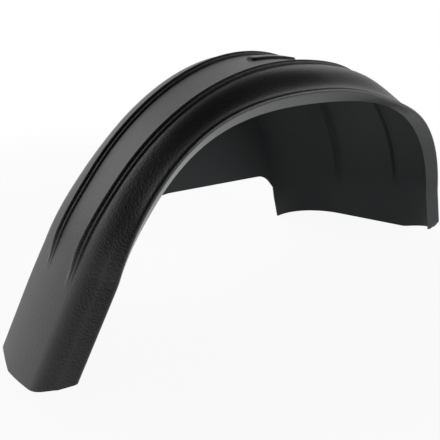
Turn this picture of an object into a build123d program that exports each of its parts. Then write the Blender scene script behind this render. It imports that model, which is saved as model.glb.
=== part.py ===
"""Wheel arch liner: one moulded plastic shell, standing on its two feet.

X runs along the span, Y from the open wheel side to the closed inner side, Z up.
"""
import math
import os

from build123d import *

# Arch: a guide line through the foot of the near bead, nearly a circle, with straight legs
ARCH_RADIUS = 340.0
ARCH_SWELL = 4.5             # the guide line swells by this at the shoulders and flattens at the crown
AXIS_BELOW_FLOOR = 50.0      # the guide line's centre lies this far under the feet
LEFT_SPLAY = 28.0            # lean of the left leg from upright, degrees
RIGHT_SPLAY = 26.0           # lean of the right leg from upright, degrees
SHEET = 2.6                  # sheet thickness
WIDTH_TAPER = 0.333          # widths grow by this fraction of themselves per arch radius in X

# Widths across the crown, from the near bead's centre line
NEAR_EDGE = 60.0
FAR_BEAD = 81.0
BACK_WALL = 150.0
FAR_LAND = 4.0               # flat strip between the far bead and the rounding into the back wall
LEG_LAND = 22.0              # that strip on the left leg

# Near edge, lip and tread
EDGE_DROP = 14.0             # mean drop of the near edge below the bead line
EDGE_SWING = 9.0             # more drop than that at the crown, less at the shoulders
EDGE_TILT = 4.0              # loss of that drop per arch radius in X
CROWN_DRAFT = -6.0           # fall of the tread towards the back wall at the crown, degrees
LEFT_DRAFT = 9.0             # the same fall on the left leg, degrees
RIGHT_DRAFT = 14.0           # the same fall on the right leg, degrees
DRAFT_POWER = 6              # how closely the crown keeps its own draft
LIP_DEPTH = 15.0             # turned-in lip along the near edge
LIP_RAKE = 16.0              # the lip's free edge stands back by this much at the crown
LIP_TURN = 5.0               # loss of that rake per arch radius in X
RAKE_ON_LEG = 8.0            # rake of the lip along the left leg
LEG_BLEND = 85.0             # path over which the section changes before the left leg
LIP_AT_FOOT = 7.0            # depth the lip fades to at the left foot
LAND_WIDTH = 9.0             # narrow land between lip and shoulder
LAND_RISE = 1.5              # how far the land climbs over its width

# Two stiffening beads
BEAD_HALF_WIDTH = 6.5
BEAD_HEIGHT = 4.2
BEAD_RUN_OUT = 44.0          # length over which a bead fades away
BEAD_TRACE = 0.03            # share of its height left below the run-out
LEFT_BEAD_END = 24.0         # bead end past the left leg's start
RIGHT_BEAD_END = 22.0        # bead end past the right leg's start

# Opening in the back wall, standing on the floor
OPENING_LEFT = 245.0         # left foot of the opening from the middle
OPENING_RIGHT = 258.0        # right foot of the opening from the middle
LEFT_TOP = 116.0             # height of its left upper corner
RIGHT_TOP = 92.0             # height of its right upper corner
LEFT_LEAN = 82.0             # lean of its left side over the height
RIGHT_LEAN = 106.0           # lean of its right side over the height
LEFT_ROUND = 130.0           # rounding of its left upper corner
RIGHT_ROUND = 75.0           # rounding of its right upper corner

# Sloping trims of the two feet, each with a steeper corner at the near edge
LEFT_TRIM_START = 40.0       # where the left trim leaves the floor, past the near bead
LEFT_TRIM_RISE = 15.0        # its height where the corner starts
LEFT_CORNER_WIDTH = 8.0
LEFT_CORNER_RISE = 4.0
RIGHT_TRIM_START = -10.0     # where the right trim leaves the floor, short of the near bead
RIGHT_TRIM_RISE = 20.0       # its height where the corner starts
RIGHT_CORNER_WIDTH = 11.0
RIGHT_CORNER_RISE = 18.0

# Plain raised plate on the crown
PAD_LENGTH = 44.0
PAD_WIDTH = 24.0
PAD_RISE = 1.0
PAD_CORNER = 5.0
PAD_ANGLE = 8.0              # left of the crown's top, degrees
PAD_FROM_BEAD = 48.0         # plate's middle from the near bead

# Sections the shell is lofted through
STATIONS = 41
PAD_STATIONS = 5
SPARE = 30.0                 # extra leg length that the floor takes off
OVERRUN = 3                  # cutters reach this many times past what they cut

# Lengths that follow from these
LEFT_ARC = ARCH_RADIUS * math.radians(90 - LEFT_SPLAY)
RIGHT_ARC = ARCH_RADIUS * math.radians(90 - RIGHT_SPLAY)
LEFT_END = LEFT_ARC + LEFT_BEAD_END
RIGHT_END = RIGHT_ARC + RIGHT_BEAD_END
BACK_DEPTH = ARCH_RADIUS - AXIS_BELOW_FLOOR - min(LEFT_TOP, RIGHT_TOP) / 2


def leg_length(splay):
    """Length of a straight leg from the arch to the floor."""
    height = ARCH_RADIUS * math.sin(math.radians(splay)) - AXIS_BELOW_FLOOR
    return height / math.cos(math.radians(splay))


LEFT_LEG = leg_length(LEFT_SPLAY)
RIGHT_LEG = leg_length(RIGHT_SPLAY)


def clamp(value):
    return max(0.0, min(1.0, value))


def blend(start, end, share):
    return start + (end - start) * share


def wave(angle):
    """1 at the crown, -1 at both shoulders."""
    return math.cos(4 * angle)


def station(s):
    """Guide point and outward angle at path length s from the crown, positive to the left."""
    arc = max(-RIGHT_ARC, min(LEFT_ARC, s))
    angle = math.pi / 2 + arc / ARCH_RADIUS
    radius = ARCH_RADIUS - ARCH_SWELL * wave(angle)
    beyond = s - arc
    x = radius * math.cos(angle) - beyond * math.sin(angle)
    z = radius * math.sin(angle) + beyond * math.cos(angle) - AXIS_BELOW_FLOOR
    return x, z, angle


def station_plane(x, z, angle):
    """Section plane with Y across the arch and outward upwards."""
    return Plane(origin=(x, 0, z), x_dir=(0, 1, 0), z_dir=(math.sin(angle), 0, -math.cos(angle)))


def width_factor(x):
    return 1 + WIDTH_TAPER * x / ARCH_RADIUS


def tread_fall(angle):
    """Slope of the tread across the arch, in radians."""
    leg = LEFT_DRAFT if angle > math.pi / 2 else RIGHT_DRAFT
    return math.radians(blend(leg, CROWN_DRAFT, math.sin(angle) ** DRAFT_POWER))


def on_left_leg(s):
    """0 over the arch, rising smoothly to 1 where the left leg starts."""
    share = clamp((s - LEFT_ARC) / LEG_BLEND + 1)
    return share * share * (3 - 2 * share)


def bead_height(s):
    """Full over the arch, fading smoothly over each run-out."""
    inside = clamp(((LEFT_END if s > 0 else RIGHT_END) - abs(s)) / BEAD_RUN_OUT)
    return BEAD_HEIGHT * max(BEAD_TRACE, 0.5 - 0.5 * math.cos(math.pi * inside))


def lip_line(s, x):
    """Way from the near edge to the lip's free edge, which grows shorter along the left leg."""
    depth = blend(LIP_DEPTH, LIP_AT_FOOT, clamp((s - LEFT_ARC) / LEFT_LEG))
    rake = blend(LIP_RAKE - LIP_TURN * x / ARCH_RADIUS, RAKE_ON_LEG, on_left_leg(s))
    return Vector(rake / LIP_DEPTH, -1, 0) * depth


def left_of(v):
    return Vector(-v.Y, v.X, 0)


def mitre(a, b):
    """Joint normal that keeps the sheet's thickness on both sides of a crease."""
    return (a + b) / (1 + a.dot(b))


def tangent_arc(start, end, direction):
    """Middle of the arc from start that meets the line through end, with normals there and at start."""
    side = left_of(direction)
    chord = start - end
    radius = chord.length ** 2 / (2 * chord.dot(side))
    centre = end + side * radius
    spoke = (start + end - centre * 2).normalized()
    facing = math.copysign(1, radius)
    return (centre + spoke * abs(radius), spoke * facing), (start - centre).normalized() * facing


def bead(centre, along, height):
    """Joints and arc middles of a rounded bead on a line: foot, two flanks, foot."""
    up = left_of(along)
    half = BEAD_HALF_WIDTH
    radius = (half ** 2 + height ** 2) / (4 * height)
    lean = math.asin(half / 2 / radius)
    run, rise = radius * math.sin(lean / 2), radius * (1 - math.cos(lean / 2))

    def at(a, b, turn):
        return centre + along * a + up * b, up * math.cos(turn) - along * math.sin(turn)

    flanks = [at(-half / 2, height / 2, lean), at(half / 2, height / 2, -lean)]
    joints = [at(-half, 0, 0), *flanks, at(half, 0, 0)]
    middles = [at(run - half, rise, lean / 2), at(0, height, 0), at(half - run, rise, -lean / 2)]
    return joints, middles


def corner(along, start, head, down):
    """Joints and middle of the rounding from the tread at a start width into the wall through head."""
    cross = along.X * down.Y - along.Y * down.X
    meet = along * ((head.X * down.Y - head.Y * down.X) / cross)
    first = along * start
    back = (meet - first).length
    radius = back / math.tan(math.acos(along.dot(down)) / 2)
    hub = first - left_of(along) * radius
    spoke = (meet - hub).normalized()
    return [(first, left_of(along)), (meet + down * back, left_of(down))], (hub + spoke * radius, spoke)


def section(s):
    """Closed outline of the sheet across the arch at path length s."""
    x, z, angle = station(s)
    k = width_factor(x)
    fall = tread_fall(angle)
    along = Vector(math.cos(fall), -math.sin(fall), 0)

    drop = EDGE_DROP + EDGE_SWING * wave(angle) - EDGE_TILT * x / ARCH_RADIUS
    edge = Vector(-NEAR_EDGE * k, -drop, 0)
    lip = edge + lip_line(s, x)
    crease = edge + Vector(LAND_WIDTH, LAND_RISE, 0)
    near_joints, near_middles = bead(Vector(0, 0, 0), along, bead_height(s))
    far_joints, far_middles = bead(along * (FAR_BEAD * k), along, bead_height(s))
    shoulder, shoulder_normal = tangent_arc(crease, near_joints[0][0], -along)

    head = Vector(BACK_WALL * k, 0, 0)
    bottom = Vector(BACK_WALL * width_factor(x - BACK_DEPTH * math.cos(angle)), -BACK_DEPTH, 0)
    down = (bottom - head).normalized()
    start = FAR_BEAD * k + BEAD_HALF_WIDTH + blend(FAR_LAND, LEG_LAND, on_left_leg(s))
    corner_joints, corner_middle = corner(along, start, head, down)

    lip_normal = left_of((edge - lip).normalized())
    land_normal = left_of((crease - edge).normalized())
    joints = [(lip, lip_normal), (edge, mitre(lip_normal, land_normal)),
              (crease, mitre(land_normal, shoulder_normal)),
              *near_joints, *far_joints, *corner_joints, (bottom, left_of(down))]
    middles = [None, None, shoulder, *near_middles, None, *far_middles, None, corner_middle, None]

    def face_line(offset):
        points = [p + n * offset for p, n in joints]
        edges = []
        for a, b, m in zip(points, points[1:], middles):
            edges.append(ThreePointArc(a, m[0] + m[1] * offset, b) if m else Line(a, b))
        return edges, points[0], points[-1]

    outer, outer_first, outer_last = face_line(SHEET / 2)
    inner, inner_first, inner_last = face_line(-SHEET / 2)
    outline = outer + [Line(outer_last, inner_last)] + inner[::-1] + [Line(inner_first, outer_first)]
    return station_plane(x, z, angle) * Wire(outline)


def stations():
    """Path lengths of the sections, evenly from the right foot over the crown to the left foot."""
    first, last = -RIGHT_ARC - RIGHT_LEG - SPARE, LEFT_ARC + LEFT_LEG + SPARE
    return [blend(first, last, i / (STATIONS - 1)) for i in range(STATIONS)]


def opening():
    """Space cut through the back wall between the two legs."""
    left_top, right_top = (LEFT_LEAN - OPENING_LEFT, LEFT_TOP), (OPENING_RIGHT - RIGHT_LEAN, RIGHT_TOP)
    left_foot = (-OPENING_LEFT - LEFT_LEAN * SPARE / LEFT_TOP, -SPARE)
    right_foot = (OPENING_RIGHT + RIGHT_LEAN * SPARE / RIGHT_TOP, -SPARE)
    face = make_face(Polyline(left_foot, right_foot, right_top, left_top, close=True))
    for (x, z), radius in ((left_top, LEFT_ROUND), (right_top, RIGHT_ROUND)):
        face = fillet(face.vertices().sort_by_distance((x, z, 0))[0], radius)
    return extrude(Plane.XZ * face, amount=OVERRUN * BACK_WALL, both=True)


def foot_trim(end, start, rise, corner_width, corner_rise):
    """Wedge taken off a foot, at path length end: a slope up from the floor, then a steeper corner."""
    x, _, _ = station(end)
    turn = corner_width - NEAR_EDGE * width_factor(x)
    beyond = turn - OVERRUN * corner_width
    top = rise + OVERRUN * corner_rise
    points = [(2 * start - turn, -rise), (turn, rise), (beyond, top), (beyond, -rise)]
    face = make_face(Polyline(*points, close=True))
    return extrude(Plane.YZ.offset(x) * face, amount=ARCH_RADIUS / 2, both=True)


def pad():
    """Plate that follows the crown, its root inside the sheet."""
    middle = ARCH_RADIUS * math.radians(PAD_ANGLE)
    rise = SHEET / 2 + PAD_RISE
    faces = []
    for i in range(PAD_STATIONS):
        x, z, angle = station(middle + PAD_LENGTH * (i / (PAD_STATIONS - 1) - 0.5))
        fall = math.degrees(tread_fall(angle))
        face = Rot(0, 0, -fall) * Pos(PAD_FROM_BEAD, rise / 2) * Rectangle(PAD_WIDTH, rise)
        faces.append((station_plane(x, z, angle) * face).wire())
    block = Solid.make_loft(faces)
    upright = block.edges().sort_by(lambda e: abs(e.length - rise))[:4]
    return fillet(upright, PAD_CORNER)


shell = Solid.make_loft([section(s) for s in stations()])
ground = OVERRUN * ARCH_RADIUS
floor = Pos(0, 0, -ground / 2) * Box(ground, ground, ground)
left_trim = foot_trim(LEFT_ARC + LEFT_LEG, LEFT_TRIM_START, LEFT_TRIM_RISE,
                      LEFT_CORNER_WIDTH, LEFT_CORNER_RISE)
right_trim = foot_trim(-RIGHT_ARC - RIGHT_LEG, RIGHT_TRIM_START, RIGHT_TRIM_RISE,
                       RIGHT_CORNER_WIDTH, RIGHT_CORNER_RISE)
liner = shell - floor - opening() - left_trim - right_trim + pad()
trimmed = Compound(children=liner.faces().filter_by(GeomType.PLANE))  # the flat trims reach furthest out
middle = trimmed.bounding_box().center()
liner = Pos(-middle.X, -middle.Y, 0) * liner

os.makedirs("parts", exist_ok=True)
export_step(liner, "parts/arch_liner.step")
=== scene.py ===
"""Wheel arch liner of black polyethylene, standing on its two feet on a white studio floor.

The shell is one sheet carried along an arched path. Its section, its trims and its raised plate are
worked out from the sizes below, in the frame of the solid part.
"""

import math

import bmesh
import bpy
import numpy as np
from bpy.props import FloatProperty, IntProperty, PointerProperty, StringProperty
from mathutils import Matrix, Vector


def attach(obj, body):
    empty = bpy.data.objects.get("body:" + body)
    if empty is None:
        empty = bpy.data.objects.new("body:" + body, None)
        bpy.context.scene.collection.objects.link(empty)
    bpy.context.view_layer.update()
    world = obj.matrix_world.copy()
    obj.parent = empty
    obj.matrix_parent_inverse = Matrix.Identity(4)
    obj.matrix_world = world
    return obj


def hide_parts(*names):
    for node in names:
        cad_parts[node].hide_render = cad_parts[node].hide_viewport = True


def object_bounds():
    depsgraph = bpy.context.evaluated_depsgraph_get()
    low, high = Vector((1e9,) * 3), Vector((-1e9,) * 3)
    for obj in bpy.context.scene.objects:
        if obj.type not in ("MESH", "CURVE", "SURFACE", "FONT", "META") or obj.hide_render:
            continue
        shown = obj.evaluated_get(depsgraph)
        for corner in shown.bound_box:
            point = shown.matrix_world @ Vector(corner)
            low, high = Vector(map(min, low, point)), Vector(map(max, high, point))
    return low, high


bl_info = {
    "name": "Wheel Arch Liner",
    "version": (1, 0, 0),
    "blender": (4, 5, 0),
    "location": "View3D > Sidebar > Arch Liner",
    "description": "Builds a moulded wheel arch liner on a studio floor",
    "category": "Add Mesh",
}

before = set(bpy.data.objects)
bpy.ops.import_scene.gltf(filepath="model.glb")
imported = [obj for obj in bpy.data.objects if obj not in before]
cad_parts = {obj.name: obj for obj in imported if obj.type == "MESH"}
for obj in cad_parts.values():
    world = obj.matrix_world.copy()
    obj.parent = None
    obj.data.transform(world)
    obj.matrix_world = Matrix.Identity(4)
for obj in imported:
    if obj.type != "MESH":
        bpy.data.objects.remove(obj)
CAD_LOW, CAD_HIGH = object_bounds()
BODY = "root"
NODE = "arch_liner"
SHELL = "moulded_shell"
MM = 0.001
MERGE = 0.001 * MM
SHARP_EDGE = math.radians(40)

# Swells of the guide line in a full turn, and how fast the crown's draft gives way to the legs'
SWELLS = 4
DRAFT_FADE = 6

# Stage, in metres in the part's frame. The camera is fitted to the photograph's lines, and its sensor and
# lens are in millimetres
FLOOR_REACH = 30.0
LAMP_WIDTH = 1.8
BACK_LAMP_SPOT = Vector((-0.8, 1.9, 1.3))
FRONT_LAMP_SPOT = Vector((1.4, -2.0, 0.7))
CAMERA_SPOT = Vector((-0.4727, -0.4021, 0.2910))
CAMERA_RIGHT = Vector((0.7200, -0.6931, 0.0353))
CAMERA_UP = Vector((0.2082, 0.2643, 0.9417))
CAMERA_SENSOR = 36.0
CAMERA_LENS = 37.56


def length(name, millimetres, description):
    """A length property, written in millimetres and held in metres."""
    return FloatProperty(name=name, description=description, default=millimetres * MM,
                         unit="LENGTH", precision=5)


def slope(name, degrees, description):
    """An angle property, written in degrees and held in radians."""
    return FloatProperty(name=name, description=description, default=math.radians(degrees),
                         unit="ROTATION")


def ratio(name, value, description):
    """A plain number, such as a share of something."""
    return FloatProperty(name=name, description=description, default=value)


def power(name, watts, description):
    """A lamp's power in watts."""
    return FloatProperty(name=name, description=description, default=watts, unit="POWER")


def colour(name, code, description):
    """A colour property, held as an sRGB hex code."""
    return StringProperty(name=name, description=description, default=code)


class LinerSizes(bpy.types.PropertyGroup):
    """Sizes of the shell, which is drawn a little finer than the solid part."""

    arch_radius: length("Arch radius", 340, "Guide circle through the foot of the near bead")
    arch_swell: length("Arch swell", 4.5, "Swell of the guide line at the shoulders, drawn in at the crown")
    hump: length("Hump", 5, "Further swell of the guide line on the wide side of the crown")
    hump_at: length("Hump at", 110, "Path from the crown to the middle of that hump")
    hump_run: length("Hump run", 75, "Path from its middle to where about a third of it is left")
    axis_below_floor: length("Axis below floor", 50, "Depth of the guide circle's centre under the feet")
    left_splay: slope("Left splay", 28, "Lean of the narrow leg from upright")
    right_splay: slope("Right splay", 26, "Lean of the wide leg from upright")
    sheet: length("Sheet", 2.6, "Thickness of the moulded sheet")
    taper: ratio("Taper", 0.333, "Growth of the widths per arch radius along the span")

    near_edge: length("Near edge", 60, "Width from the near bead to the near edge at the crown")
    far_bead: length("Far bead", 81, "Width from the near bead to the far bead at the crown")
    back_wall: length("Back wall", 150, "Width from the near bead to the back wall at the crown")

    far_land: length("Far land", 1, "Flat strip between the far bead and the rounded corner")
    leg_land: length("Leg land", 30, "That strip on the narrow leg")
    strip_from: length("Strip from", 140, "Path before the narrow leg where the strip starts to widen")
    strip_to: length("Strip to", 60, "Path down the narrow leg where the strip has its full width")
    leg_bow: length("Leg bow", 4, "Outward bow of the narrow leg's tread between its edges")

    edge_drop: length("Edge drop", 14, "Mean drop of the near edge below the bead line")
    edge_swing: length("Edge swing", 9, "Further drop at the crown, taken back at the shoulders")
    edge_tilt: length("Edge tilt", 4, "Loss of that drop per arch radius along the span")
    edge_pull: length("Edge pull", 6, "Way that the near edge draws in half-way up the narrow side")
    edge_dip: length("Edge dip", 9, "Further drop of the near edge on the wide side")
    dip_at: length("Dip at", 135, "Path from the crown to the middle of that dip")
    dip_run: length("Dip run", 90, "Path from its middle to where about a third of it is left")
    edge_bend: length("Edge bend", 1.5, "Rounding where the lip turns in")
    crown_draft: slope("Crown draft", -6, "Fall of the tread towards the back wall at the crown")
    left_draft: slope("Left draft", 9, "The same fall on the narrow leg")
    right_draft: slope("Right draft", 14, "The same fall on the wide leg")
    lip_depth: length("Lip depth", 15, "Turned-in lip along the near edge")
    lip_rake: length("Lip rake", 13.5, "Distance that the lip's free edge stands back")
    leg_blend: length("Leg blend", 85, "Path over which the section changes before the narrow leg")
    rake_on_leg: length("Rake on leg", 16.5, "Rake of the lip along the narrow leg")
    lip_at_foot: length("Lip at foot", 7, "Depth that the lip fades to at the narrow foot")
    land_width: length("Land width", 6, "Narrow land between lip and shoulder")
    land_on_leg: length("Land on leg", 9, "Width of that land along the narrow leg")
    land_rise: length("Land rise", 1, "Climb of the land over its width")
    rise_on_leg: length("Rise on leg", 7, "Climb of the land along the narrow leg")
    flare: ratio("Flare", 0.3, "Share of the shoulder that flares out to the land")
    brow: ratio("Brow", 0.6, "Share of the shoulder that rounds off to the bead")
    left_brow: ratio("Left brow", 0.3, "That share between the crown and the narrow leg")
    brow_blend: length("Brow blend", 120, "Path from the crown over which that share changes")

    bead_half: length("Bead half width", 6.5, "Half the width of a stiffening bead")
    bead_height: length("Bead height", 4.2, "Height of a stiffening bead")
    ledge: ratio("Ledge", 0.45, "Height of the ledge on a bead's near side, in bead heights")
    bead_run_out: length("Bead run-out", 44, "Length over which a bead fades away")
    left_bead_end: length("Left bead end", 24, "Bead end past the start of the narrow leg")
    right_bead_end: length("Right bead end", 22, "Bead end past the start of the wide leg")

    opening_left: length("Opening left", 245, "Left foot of the opening from the middle")
    opening_right: length("Opening right", 258, "Right foot of the opening from the middle")
    opening_left_top: length("Opening left top", 116, "Height of the opening's left upper corner")
    opening_right_top: length("Opening right top", 92, "Height of the opening's right upper corner")
    opening_left_lean: length("Opening left lean", 82, "Lean of the opening's left side")
    opening_right_lean: length("Opening right lean", 106, "Lean of the opening's right side")
    opening_left_corner: length("Opening left corner", 130, "Rounding of its left upper corner")
    opening_right_corner: length("Opening right corner", 75, "Rounding of its right upper corner")

    left_trim_start: length("Left trim start", 48, "Where the narrow foot's trim leaves the floor")
    left_trim_rise: length("Left trim rise", 19, "Height of that trim where its corner starts")
    left_corner_width: length("Left corner width", 8, "Width of that trim's steeper corner")
    left_corner_rise: length("Left corner rise", 4, "Climb of that corner")
    right_trim_start: length("Right trim start", -10, "Where the wide foot's trim leaves the floor")
    right_trim_rise: length("Right trim rise", 20, "Height of that trim where its corner starts")
    right_corner_width: length("Right corner width", 11, "Width of that trim's steeper corner")
    right_corner_rise: length("Right corner rise", 18, "Climb of that corner")

    plate_length: length("Plate length", 84, "Raised plate along the crown")
    plate_width: length("Plate width", 18, "Raised plate across the crown")
    plate_rise: length("Plate rise", 3, "Height of the raised plate")
    plate_corner: length("Plate corner", 6, "Corner rounding of the raised plate")
    plate_angle: slope("Plate angle", 0.2, "Plate's middle, left of the top of the arch")
    plate_from_bead: length("Plate from bead", 46, "Plate's middle from the near bead")

    rows: IntProperty(name="Rows", description="Grid rows along the arch", default=240, min=40)


class LinerFinish(bpy.types.PropertyGroup):
    """Colours and surfaces of the plastic."""

    outer: colour("Outer face", "#0c0d0d", "Black polyethylene, as pressed against the grained tool")
    outer_roughness: ratio("Outer roughness", 0.4, "Satin of the grained face")
    outer_shine: ratio("Outer shine", 0.5, "Specular level of the grained face and the lip")
    inner: colour("Inner face", "#2a2c2d", "The same sheet where the tool didn't touch it")
    inner_roughness: ratio("Inner roughness", 0.6, "Dullness of the plain face")
    inner_shine: ratio("Inner shine", 0.2, "Specular level of the plain face")
    # The lip's paler grey is painted light: the lip is the same black sheet as the outer face and is
    # brighter only by how the light falls on it.
    lip: colour("Lip", "#343638", "The turned-in lip, drawn smooth and a little paler")
    lip_roughness: ratio("Lip roughness", 0.3, "Smoothness of the lip")
    grain: length("Grain", 2, "Width of one pebble of the moulded grain")
    grain_depth: length("Grain depth", 0.22, "Height of the grain")
    grain_softness: ratio("Grain softness", 0.6, "How far one pebble runs into the next")
    inner_grain: ratio("Inner grain", 0.25, "Share of that height on the plain face")
    lip_grain: ratio("Lip grain", 0.125, "Share of that height on the lip")


class StageLook(bpy.types.PropertyGroup):
    """Floor, surroundings and lamps."""

    floor: colour("Floor", "#f7f7f7", "White floor")
    floor_glow: ratio("Floor glow", 0.93, "Share of plain white in the floor as seen")
    floor_near: length("Shadow ends", 500, "Distance at which the floor starts to pale")
    floor_far: length("White starts", 1600, "Distance at which the floor is plain white")
    sky_low: ratio("Horizon ends", 0.25, "Sine of the height at which the white horizon starts to dim")
    sky_high: ratio("Ceiling starts", 0.55, "Sine of the height at which the ceiling is fully dim")
    sky_top: ratio("Ceiling", 0.03, "Brightness overhead, where the horizon is 1")
    sky_tilt: slope("Ceiling tilt", 25, "Lean of the dim ceiling towards the front")
    back_lamp: power("Back lamp", 6, "Power of the lamp behind")
    front_lamp: power("Front lamp", 28, "Power of the lamp in front")


def linear(code):
    """Linear RGBA of an sRGB hex code: the sRGB curve is undone for each channel."""
    value = np.array([int(code[i:i + 2], 16) for i in (1, 3, 5)]) / 255
    low, high = value / 12.92, ((value + 0.055) / 1.055) ** 2.4
    return (*np.where(value <= 0.04045, low, high), 1.0)


def node(tree, kind, links=None, **settings):
    """Adds one node. Settings name its sockets or fields, and links feed sockets by name or number."""
    made = tree.nodes.new(kind)
    for key, value in settings.items():
        if key in made.inputs:
            made.inputs[key].default_value = value
        else:
            setattr(made, key, value)
    for key, source in (links or {}).items():
        tree.links.new(source, made.inputs[key])
    return made


def arriving(tree, first, *others):
    """One where a ray of the named kinds arrives, otherwise nothing: the greatest of their marks."""
    ray = node(tree, "ShaderNodeLightPath")
    mark = ray.outputs[first]
    for other in others:
        greater = node(tree, "ShaderNodeMath", {0: mark, 1: ray.outputs[other]}, operation="MAXIMUM")
        mark = greater.outputs["Value"]
    return mark


def bell(s, height, middle, run):
    """Bell curve along the path: a height times the exponential of minus the squared way from its middle.

    The way is counted in runs, and the middle from the crown towards the wide leg.
    """
    return height * np.exp(-((s + middle) / run) ** 2)


def ease(t, start, end):
    """Smooth step from 0 at the start to 1 at the end, with a cubic between."""
    share = np.clip((t - start) / (end - start), 0, 1)
    return share ** 2 * (3 - 2 * share)


def unit(start, end):
    """Direction from one complex point to another, of length 1."""
    return (end - start) / np.abs(end - start)


def path(size, s):
    """Guide line at path length s from the crown, positive to the left: a swelling circle and two legs.

    The radius swells with a cosine of the angle and with the hump, and the legs go on straight, along the
    tangents of the plain circle. Gives x, z and the outward angle.
    """
    (left, right), _ = leg_ends(size)
    arc = np.clip(s, -right, left)
    angle = math.pi / 2 + arc / size.arch_radius
    hump = bell(arc, size.hump, size.hump_at, size.hump_run)
    radius = size.arch_radius - size.arch_swell * np.cos(SWELLS * angle) + hump
    x = radius * np.cos(angle) - (s - arc) * np.sin(angle)
    z = radius * np.sin(angle) + (s - arc) * np.cos(angle) - size.axis_below_floor
    return x, z, angle


def leg_ends(size):
    """Path lengths where the left and right legs start, and their lengths down to the floor."""
    starts, lengths = [], []
    for splay in (size.left_splay, size.right_splay):
        starts.append(size.arch_radius * (math.pi / 2 - splay))
        lengths.append((size.arch_radius * math.sin(splay) - size.axis_below_floor) / math.cos(splay))
    return starts, lengths


def bead_rise(size, s):
    """Bead height along the path: full over the arch, then a half cosine down to nothing."""
    (left, right), _ = leg_ends(size)
    end = np.where(s > 0, left + size.left_bead_end, right + size.right_bead_end)
    inside = np.clip((end - np.abs(s)) / size.bead_run_out, 0, 1)
    return size.bead_height * (0.5 - 0.5 * np.cos(math.pi * inside))


# Stretches across a bead, from -1 to 1: the wall up to its ledge, the wall up to its ridge, the fall behind
LEDGE_WALL = (-1, -0.78)
RIDGE_WALL = (-0.3, -0.08)
FAR_FALL = (0.1, 1)


def bead_shape(size, s, t):
    """Height of a bead at t from -1 to 1 across it: two smooth steps up and one gentle step down."""
    steps = size.ledge * ease(t, *LEDGE_WALL) + (1 - size.ledge) * ease(t, *RIDGE_WALL)
    return bead_rise(size, s) * (steps - ease(t, *FAR_FALL))


def bend(corner, before, after, radius, t):
    """Arc of a radius that rounds a corner between two directions, at t from 0 to 1."""
    turn = np.angle(after / before)
    start = corner - before * radius * np.tan(np.abs(turn) / 2)
    spoke = -1j * before * radius * np.sign(turn)
    return start - spoke + spoke * np.exp(1j * turn * t)


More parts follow.
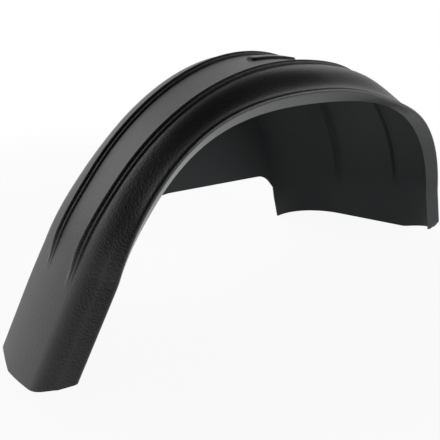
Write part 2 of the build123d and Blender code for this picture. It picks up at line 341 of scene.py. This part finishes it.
class Section:
    """Middle line of the sheet across the arch, as complex numbers: width along Y plus outward height.

    Path lengths s have one row for each grid row and one column for each column of the part asked for.
    """

    def __init__(self, size, s):
        """Works out the corners of the section: the lip's free edge, the near edge, the crease and the wall.

        Widths grow evenly along the span. The tread's slope goes from the crown's to the legs' with a power
        of the angle's sine. The rounded corner fills the space from the far strip to where tread and wall
        would meet.
        """
        self.size, self.s = size, s
        x, _, angle = path(size, s)
        widen = 1 + size.taper * x / size.arch_radius
        leg_draft = np.where(s > 0, size.left_draft, size.right_draft)
        fall = leg_draft + (size.crown_draft - leg_draft) * np.sin(angle) ** DRAFT_FADE
        (left, _), (left_leg, _) = leg_ends(size)
        down_leg = np.clip((s - left) / left_leg, 0, 1)
        depth = size.lip_depth + (size.lip_at_foot - size.lip_depth) * down_leg
        upright = ease(s, left - size.leg_blend, left)

        self.along = np.exp(-1j * fall)
        drop = size.edge_drop - size.edge_tilt * x / size.arch_radius
        drop = drop + size.edge_swing * np.cos(SWELLS * angle)
        drop = drop + bell(s, size.hump, size.hump_at, size.hump_run)
        pull = bell(s, size.edge_pull, -left / 2, left / 4)
        even_edge = pull - size.near_edge * widen - 1j * drop
        self.edge = even_edge - 1j * bell(s, size.edge_dip, size.dip_at, size.dip_run)
        rake = size.lip_rake + (size.rake_on_leg - size.lip_rake) * upright
        self.lip_end = even_edge + depth * (rake / size.lip_depth - 1j)
        land = size.land_width + 1j * size.land_rise
        land_on_leg = size.land_on_leg + 1j * size.rise_on_leg
        self.crease = self.edge + land + (land_on_leg - land) * upright
        self.lip_way = unit(self.lip_end, self.edge)
        self.land_way = unit(self.edge, self.crease)
        self.upright = upright
        self.far = size.far_bead * widen

        opening_depth = size.arch_radius - size.axis_below_floor - size.opening_right_top / 2
        low = x - opening_depth * np.cos(angle)
        head = size.back_wall * widen
        foot = size.back_wall * (1 + size.taper * low / size.arch_radius) - 1j * opening_depth
        self.down = unit(head, foot)
        self.meet = self.along * (head * self.down.imag / np.imag(np.conj(self.along) * self.down))
        turn = np.angle(self.down / self.along)
        widened = ease(s, left - size.strip_from, left + size.strip_to)
        self.far_land = size.far_land + (size.leg_land - size.far_land) * widened
        self.corner_back = np.abs(self.meet) - self.far - size.bead_half - self.far_land
        self.corner_radius = self.corner_back / np.tan(np.abs(turn) / 2)

    def near_bend(self, t):
        """Rounded turn from the lip into the land."""
        return bend(self.edge, self.lip_way, self.land_way, self.size.edge_bend, t)

    def lip(self, t):
        """Straight from the lip's free edge to the start of the near bend."""
        return self.lip_end + (self.near_bend(0) - self.lip_end) * t

    def land(self, t):
        """Straight from the end of the near bend to the crease."""
        first = self.near_bend(1)
        return first + (self.crease - first) * t

    def shoulder(self, t):
        """Cubic from the land to the foot of the near bead: it flares out of the land and rounds off above.

        Along the narrow leg it leaves the land at a crease, and between the crown and that leg it rounds
        off more tightly.
        """
        foot = -self.size.bead_half * self.along
        span = foot - self.crease
        flat = self.land_way * np.abs(span)
        leave = self.crease + self.size.flare * (flat + (span - flat) * self.upright)
        sharp = ease(self.s, 0, self.size.brow_blend) * (1 - self.upright)
        brow = self.size.brow + (self.size.left_brow - self.size.brow) * sharp
        arrive = foot - brow * np.abs(span) * self.along
        return ((1 - t) ** 3 * self.crease + 3 * (1 - t) ** 2 * t * leave
                + 3 * (1 - t) * t ** 2 * arrive + t ** 3 * foot)

    def near_bead(self, t):
        """Bead on the guide line, t running from -1 to 1."""
        return self.along * (t * self.size.bead_half + 1j * bead_shape(self.size, self.s, t))

    def band(self, t):
        """Flat tread between the two beads."""
        half = self.size.bead_half
        return self.along * (half + (self.far - 2 * half) * t)

    def far_bead(self, t):
        """Bead at the far width, t running from -1 to 1."""
        return self.along * self.far + self.near_bead(t)

    def far_band(self, t):
        """Flat strip of tread from the far bead to the rounded corner."""
        return self.along * (self.far + self.size.bead_half + self.far_land * t)

    def corner(self, t):
        """Rounding from the tread into the back wall."""
        return bend(self.meet, self.along, self.down, self.corner_radius, t)

    def bowed(self, line):
        """The line bowed outward on the narrow leg: a parabola from the near edge to the wall."""
        near, far = self.edge.real, self.meet.real
        share = np.clip((line.real - near) / (far - near), 0, 1)
        return line + 4j * self.size.leg_bow * self.upright * share * (1 - share)

    def wall(self, depth):
        """Straight down the back wall, by a depth from the end of the corner."""
        return self.meet + self.down * (self.corner_back + depth)


# Grid columns of each stretch of the section, from the lip to the back wall
LIP_COLUMNS = np.linspace(0, 1, 7)[:-1]
BEND_COLUMNS = np.linspace(0, 1, 6)[:-1]
LAND_COLUMNS = np.linspace(0, 1, 4)[:-1]
SHOULDER_COLUMNS = np.linspace(0, 1, 21)[:-1]
BEAD_COLUMNS = np.linspace(-1, 1, 31)[:-1]
BAND_COLUMNS = np.linspace(0, 1, 8)[:-1]
CORNER_COLUMNS = np.linspace(0, 1, 24)
WALL_COLUMNS = np.linspace(0, 1, 28)[1:]
TREAD_PARTS = (
    (Section.lip, LIP_COLUMNS), (Section.near_bend, BEND_COLUMNS), (Section.land, LAND_COLUMNS),
    (Section.shoulder, SHOULDER_COLUMNS), (Section.near_bead, BEAD_COLUMNS), (Section.band, BAND_COLUMNS),
    (Section.far_bead, BEAD_COLUMNS), (Section.far_band, LAND_COLUMNS), (Section.corner, CORNER_COLUMNS),
)
TREAD_COUNT = sum(len(columns) for _, columns in TREAD_PARTS)
HALVINGS = 40


def tread_line(size, s):
    """Middle line of all columns from the lip to the end of the corner, for path lengths s."""
    stretches, first = [], 0
    for part, columns in TREAD_PARTS:
        last = first + len(columns)
        section = Section(size, s[:, first:last])
        stretches.append(section.bowed(part(section, columns)))
        first = last
    return np.hstack(stretches)


def raised(line, offset):
    """The line moved outward by an offset, along the left-hand normal of its own direction."""
    run = np.gradient(line, axis=1)
    return line + 1j * run / np.abs(run) * offset


def placed(size, s, line):
    """Points in space of section points: width along Y, height along the path's outward angle."""
    x, z, angle = path(size, s)
    return np.stack((x + line.imag * np.cos(angle), line.real, z + line.imag * np.sin(angle)), axis=-1)


def halve(inside, outside, blocked):
    """Halves the stretch between a free and a blocked value until they meet, for whole arrays."""
    for _ in range(HALVINGS):
        middle = (inside + outside) / 2
        stop = blocked(middle)
        inside, outside = np.where(stop, inside, middle), np.where(stop, middle, outside)
    return inside


def foot_height(size, y, leg, end):
    """Height of a foot's trim: the floor, a slope towards the near edge, then a steeper corner.

    The leg's end is the path length at which its guide line meets the floor.
    """
    x, _, _ = path(size, np.array(end))
    start, rise = getattr(size, leg + "_trim_start"), getattr(size, leg + "_trim_rise")
    width, climb = getattr(size, leg + "_corner_width"), getattr(size, leg + "_corner_rise")
    turn = width - size.near_edge * (1 + size.taper * x / size.arch_radius)
    slope_height = (start - y) * rise / (start - turn)
    corner_height = rise + (turn - y) * climb / width
    return np.maximum(0, np.maximum(slope_height, corner_height))


def foot_ends(size, offset):
    """Path lengths where each column of a skin meets the left and the right trim."""
    ends = []
    for side, leg, start, run in zip((1, -1), ("left", "right"), *leg_ends(size)):
        def under(s):
            """Whether the columns lie below the trim there."""
            point = placed(size, s, raised(tread_line(size, s), offset))
            return point[..., 2] < foot_height(size, point[..., 1], leg, side * (start + run))
        on_arch = np.full((1, TREAD_COUNT), side * start / 2)
        below_floor = np.full_like(on_arch, side * (start + 2 * run))
        ends.append(halve(on_arch, below_floor, under))
    return ends


def in_opening(size, point):
    """Whether complex points x + iz lie inside the opening: a trapezium with two rounded upper corners."""
    right_foot, left_foot = size.opening_right, -size.opening_left
    right_top = right_foot - size.opening_right_lean + 1j * size.opening_right_top
    left_top = left_foot + size.opening_left_lean + 1j * size.opening_left_top
    corners = np.array((right_foot, right_top, left_top, left_foot))
    sides = np.diff(corners)
    sides /= np.abs(sides)
    inside = np.ones(point.shape, bool)
    for corner, side in zip(corners, sides):
        inside &= np.imag(np.conj(side) * (point - corner)) > 0
    radii = (size.opening_right_corner, size.opening_left_corner)
    for corner, before, after, radius in zip(corners[1:], sides, sides[1:], radii):
        back = radius * np.tan(np.angle(after / before) / 2)
        spoke = point - (corner + before * (1j * radius - back))
        near_corner = (np.real(np.conj(before) * spoke) > 0) & (np.real(np.conj(after) * spoke) < 0)
        inside &= ~(near_corner & (np.abs(spoke) > radius))
    return inside


def wall_depths(size, s):
    """Depth of the back wall below the corner for each row, down to the opening or the floor."""
    section = Section(size, s)

    def blocked(depth):
        """Whether the wall has reached the floor or the opening at that depth."""
        point = placed(size, s, section.wall(depth))
        x, z = point[..., 0], point[..., 2]
        return (z < 0) | in_opening(size, x + 1j * z)
    return halve(np.zeros_like(s), np.full_like(s, size.arch_radius), blocked)


def skin(size, offset):
    """One face of the sheet as a grid of points: rows along the arch, columns from lip to wall edge."""
    left, right = foot_ends(size, offset)
    u = np.linspace(0, 1, size.rows)[:, None]
    s = right + (left - right) * u
    wall_s = s[:, -1:]
    depth = wall_depths(size, wall_s) * WALL_COLUMNS
    wall_s = np.broadcast_to(wall_s, depth.shape)
    section = Section(size, wall_s)
    wall = section.wall(depth) + 1j * section.down * offset
    tread = raised(tread_line(size, s), offset)
    return placed(size, np.hstack((s, wall_s)), np.hstack((tread, wall)))


def tube_faces(rows, columns):
    """Quads of a grid whose columns close on themselves."""
    index = np.arange(rows * columns).reshape(rows, columns)
    turned = np.roll(index, -1, axis=1)
    return np.stack((index[:-1], turned[:-1], turned[1:], index[1:]), axis=-1).reshape(-1, 4)


def shell_faces(rows, columns):
    """Quads round the sheet, and of its two flat ends, where the outer columns face the inner ones."""
    index = np.arange(rows * columns).reshape(rows, columns)
    half = columns // 2
    outer, inner = index[:, :half], index[:, :half - 1:-1]
    first = np.stack((outer[0, :-1], outer[0, 1:], inner[0, 1:], inner[0, :-1]), axis=-1)
    last = np.stack((outer[-1, :-1], inner[-1, :-1], inner[-1, 1:], outer[-1, 1:]), axis=-1)
    return np.vstack((tube_faces(rows, columns), first, last))


def mesh_object(name, points, faces, materials, slots=0):
    """A smooth object at the origin, from arrays of points, of quads and of each quad's material."""
    mesh = bpy.data.meshes.new(name)
    mesh.from_pydata(points.reshape(-1, 3).tolist(), [], faces.tolist())
    for material in materials:
        mesh.materials.append(material)
    mesh.polygons.foreach_set("material_index", np.broadcast_to(slots, len(faces)).astype(np.int32))
    work = bmesh.new()
    work.from_mesh(mesh)
    bmesh.ops.remove_doubles(work, verts=work.verts, dist=MERGE)
    bmesh.ops.dissolve_degenerate(work, edges=work.edges, dist=MERGE)
    bmesh.ops.recalc_face_normals(work, faces=work.faces)
    work.to_mesh(mesh)
    work.free()
    mesh.shade_smooth()
    mesh.set_sharp_from_angle(angle=SHARP_EDGE)
    made = bpy.data.objects.new(name, mesh)
    bpy.context.scene.collection.objects.link(made)
    return made


def plastic(name, finish, code, roughness, shine, grain_share=1.0):
    """Polyethylene sheet: a dielectric with a fine pebble pressed into it, at a share of its height."""
    material = bpy.data.materials.new(name)
    material.use_nodes = True
    tree = material.node_tree
    tree.nodes.clear()
    place = node(tree, "ShaderNodeTexCoord")
    pebble = node(tree, "ShaderNodeTexVoronoi", {"Vector": place.outputs["Object"]},
                  feature="SMOOTH_F1", Scale=1 / finish.grain, Smoothness=finish.grain_softness)
    bump = node(tree, "ShaderNodeBump", {"Height": pebble.outputs["Distance"]},
                Strength=1.0, Distance=finish.grain_depth * grain_share)
    shader = node(tree, "ShaderNodeBsdfPrincipled", {"Normal": bump.outputs["Normal"]},
                  **{"Base Color": linear(code), "Roughness": roughness, "Specular IOR Level": shine})
    node(tree, "ShaderNodeOutputMaterial", {"Surface": shader.outputs["BSDF"]})
    return material


def grained(finish):
    """Outer face: black with a pebbled satin that shines where it looks along the light."""
    return plastic("black polyethylene, grained", finish, finish.outer,
                   finish.outer_roughness, finish.outer_shine)


def plain(finish):
    """Inner face and cut edges: dull dark grey, nearly smooth."""
    return plastic("black polyethylene, plain", finish, finish.inner,
                   finish.inner_roughness, finish.inner_shine, finish.inner_grain)


def lip_painted_paler(finish):
    """Lip: stretched smooth, so that it mirrors the pale floor softly, and painted a paler grey than the
    outer face it belongs to, as painted light that stands in for the brighter light on the lip.
    """
    return plastic("black polyethylene, lip painted paler as painted light", finish, finish.lip,
                   finish.lip_roughness, finish.outer_shine, finish.lip_grain)


def face_finish(rows, columns):
    """Material of each quad of the shell: 0 on the outer face, 1 inside and on cut edges, 2 on the lip,
    whose paler grey is painted light.
    """
    half = columns // 2
    lip = len(LIP_COLUMNS)
    across = np.arange(columns)
    slots = np.where(across < lip, 2, np.where(across < half - 1, 0, 1))
    sides = np.broadcast_to(slots, (rows - 1, columns)).reshape(-1)
    return np.hstack((sides, np.ones(2 * (half - 1), int)))


# Rings of the raised plate, from the middle of its root round its rim to the middle of its top: how much of
# its outline a ring has, how much of its rise, and whether it lies on the sheet's face or in its middle
PLATE_REACH = np.array((0, 0.5, 1, 1, 1, 1, 1, 0.5, 0))[:, None]
PLATE_CLIMB = np.array((0, 0, 0, 0, 0.2, 0.8, 1, 1, 1))[:, None]
PLATE_ON_FACE = np.array((0, 0, 0, 1, 1, 1, 1, 1, 1))[:, None]


def plate_grid(size, corner_points=8, side_points=16):
    """Rings of the raised plate as a grid of points.

    Each ring is a rounded rectangle, drawn in as far as it has climbed, so that the rim slopes evenly.
    Points along its sides let it follow the bend of the crown.
    """
    long = size.plate_length / 2 - size.plate_corner
    wide = size.plate_width / 2 - size.plate_corner
    quarters = np.arange(4)[:, None] * math.pi / 2
    spokes = np.exp(1j * (quarters + np.linspace(0, math.pi / 2, corner_points)))
    middles = np.exp(1j * (quarters + math.pi / 4))
    middles = np.sign(middles.real) * long + 1j * np.sign(middles.imag) * wide
    climbs = PLATE_CLIMB * size.plate_rise
    heights = climbs + PLATE_ON_FACE * size.sheet / 2
    corners = middles + (size.plate_corner - climbs[..., None]) * spokes
    first, last = np.roll(corners[..., :1], -1, axis=1), corners[..., -1:]
    sides = last + (first - last) * np.linspace(0, 1, side_points + 2)[1:-1]
    flat = PLATE_REACH * np.concatenate((corners, sides), axis=-1).reshape(len(PLATE_REACH), -1)
    s = size.arch_radius * size.plate_angle + flat.real
    line = Section(size, s).along * (size.plate_from_bead + flat.imag + 1j * heights)
    return placed(size, s, line)


def shell_grid(size):
    """Both faces of the sheet as one closed grid, and the move that centres it on the solid part."""
    outer, inner = skin(size, size.sheet / 2), skin(size, -size.sheet / 2)
    ring = np.hstack((outer, inner[:, ::-1]))
    corners = ring.reshape(-1, 3)
    middle = (corners.min(axis=0) + corners.max(axis=0)) / 2
    move = (np.array(CAD_LOW) + np.array(CAD_HIGH)) / 2 - middle
    move[2] = 0
    return ring, move


class LINER_OT_shell(bpy.types.Operator):
    """Builds the moulded shell in place of the solid."""

    bl_idname = "liner.shell"
    bl_label = "Moulded Shell"

    def execute(self, context):
        size, finish = context.scene.liner_sizes, context.scene.liner_finish
        ring, move = shell_grid(size)
        rows, columns = ring.shape[:2]
        finishes = (grained(finish), plain(finish), lip_painted_paler(finish))
        shell = mesh_object(SHELL, ring + move, shell_faces(rows, columns),
                            finishes, face_finish(rows, columns))
        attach(shell, BODY)
        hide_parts(NODE)
        return {"FINISHED"}


class LINER_OT_plate(bpy.types.Operator):
    """Builds the raised plate on the crown, in the grained finish of the shell."""

    bl_idname = "liner.plate"
    bl_label = "Raised Plate"

    def execute(self, context):
        size = context.scene.liner_sizes
        _, move = shell_grid(size)
        rings = plate_grid(size)
        outside = bpy.data.objects[SHELL].data.materials[0]
        plate = mesh_object("raised_plate", rings + move, tube_faces(*rings.shape[:2]), (outside,))
        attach(plate, BODY)
        return {"FINISHED"}


class LINER_OT_stage(bpy.types.Operator):
    """Sets the white floor, the soft surroundings, the two lamps and the camera."""

    bl_idname = "liner.stage"
    bl_label = "Studio Stage"

    def execute(self, context):
        look = context.scene.liner_stage
        context.scene.view_settings.view_transform = "Standard"
        self.floor(look)
        self.surroundings(context, look)
        self.lamp(context, "back lamp", look.back_lamp, BACK_LAMP_SPOT)
        self.lamp(context, "front lamp", look.front_lamp, FRONT_LAMP_SPOT)
        self.camera(context)
        return {"FINISHED"}

    def floor(self, look):
        """A floor that keeps the shadow near the object and pales into plain white with distance."""
        material = bpy.data.materials.new("white floor")
        material.use_nodes = True
        tree = material.node_tree
        tree.nodes.clear()
        place = node(tree, "ShaderNodeTexCoord")
        distance = node(tree, "ShaderNodeVectorMath", {"Vector": place.outputs["Object"]},
                        operation="LENGTH")
        share = node(tree, "ShaderNodeMapRange", {"Value": distance.outputs["Value"]},
                     interpolation_type="SMOOTHSTEP",
                     **{"From Min": look.floor_near, "From Max": look.floor_far, "To Min": look.floor_glow})
        seen = arriving(tree, "Is Camera Ray", "Is Glossy Ray", "Is Transmission Ray")
        white = node(tree, "ShaderNodeMath", {0: seen, 1: share.outputs["Result"]}, operation="MULTIPLY")
        paint = node(tree, "ShaderNodeBsdfDiffuse", Color=linear(look.floor))
        glow = node(tree, "ShaderNodeEmission", Color=(1, 1, 1, 1))
        mix = node(tree, "ShaderNodeMixShader",
                   {"Fac": white.outputs["Value"], 1: paint.outputs["BSDF"], 2: glow.outputs["Emission"]})
        node(tree, "ShaderNodeOutputMaterial", {"Surface": mix.outputs["Shader"]})
        corners = FLOOR_REACH * np.array([(-1, -1, 0), (1, -1, 0), (1, 1, 0), (-1, 1, 0)])
        floor = mesh_object("studio_floor", corners, np.array([[0, 1, 2, 3]]), (material,))

    def surroundings(self, context, look):
        """White to the camera; light and sheen come from a white horizon under a dim, tilted ceiling."""
        world = bpy.data.worlds.new("studio surroundings")
        context.scene.world = world
        world.use_nodes = True
        tree = world.node_tree
        tree.nodes.clear()
        place = node(tree, "ShaderNodeTexCoord")
        height = node(tree, "ShaderNodeVectorMath", {0: place.outputs["Generated"]},
                      operation="DOT_PRODUCT")
        height.inputs[1].default_value = (0, -math.sin(look.sky_tilt), math.cos(look.sky_tilt))
        level = node(tree, "ShaderNodeMapRange", {"Value": height.outputs["Value"]},
                     interpolation_type="SMOOTHSTEP",
                     **{"From Min": look.sky_low, "From Max": look.sky_high,
                        "To Min": 1.0, "To Max": look.sky_top})
        seen = arriving(tree, "Is Camera Ray", "Is Transmission Ray")
        strength = node(tree, "ShaderNodeMath", {0: level.outputs["Result"], 1: seen}, operation="MAXIMUM")
        sky = node(tree, "ShaderNodeBackground", {"Strength": strength.outputs["Value"]},
                   Color=(1, 1, 1, 1))
        node(tree, "ShaderNodeOutputWorld", {"Surface": sky.outputs["Background"]})

    def lamp(self, context, name, watts, spot):
        """One large soft lamp that faces the liner."""
        data = bpy.data.lights.new(name, "AREA")
        data.shape = "DISK"
        data.size = LAMP_WIDTH
        data.energy = watts
        lamp = bpy.data.objects.new(name, data)
        context.scene.collection.objects.link(lamp)
        turn = (-spot).to_track_quat("-Z", "Y").to_matrix().to_4x4()
        lamp.matrix_world = Matrix.Translation(spot) @ turn

    def camera(self, context):
        """The photograph's view: from the left end, a little above the liner."""
        data = bpy.data.cameras.new("camera")
        data.sensor_width = CAMERA_SENSOR
        data.lens = CAMERA_LENS
        camera = bpy.data.objects.new("camera", data)
        context.scene.collection.objects.link(camera)
        back = CAMERA_RIGHT.cross(CAMERA_UP)
        turn = Matrix((CAMERA_RIGHT, CAMERA_UP, back)).transposed().to_4x4()
        camera.matrix_world = Matrix.Translation(CAMERA_SPOT) @ turn
        context.scene.camera = camera


class LINER_PT_panel(bpy.types.Panel):
    """Lists the pieces."""

    bl_idname = "LINER_PT_panel"
    bl_label = "Arch Liner"
    bl_space_type = "VIEW_3D"
    bl_region_type = "UI"
    bl_category = "Arch Liner"

    def draw(self, context):
        for operator in OPERATORS:
            self.layout.operator(operator.bl_idname)


GROUPS = {"liner_sizes": LinerSizes, "liner_finish": LinerFinish, "liner_stage": StageLook}
OPERATORS = (LINER_OT_shell, LINER_OT_plate, LINER_OT_stage)
CLASSES = (*GROUPS.values(), *OPERATORS, LINER_PT_panel)


def register():
    """Registers the classes and hangs the property groups on the scene."""
    for cls in CLASSES:
        bpy.utils.register_class(cls)
    for name, group in GROUPS.items():
        setattr(bpy.types.Scene, name, PointerProperty(type=group))


def unregister():
    """Takes the property groups and the classes away again."""
    for name in GROUPS:
        delattr(bpy.types.Scene, name)
    for cls in reversed(CLASSES):
        bpy.utils.unregister_class(cls)


def main():
    """Builds the liner and its stage."""
    register()
    bpy.ops.liner.shell()
    bpy.ops.liner.plate()
    bpy.ops.liner.stage()


if __name__ == "__main__":
    main()
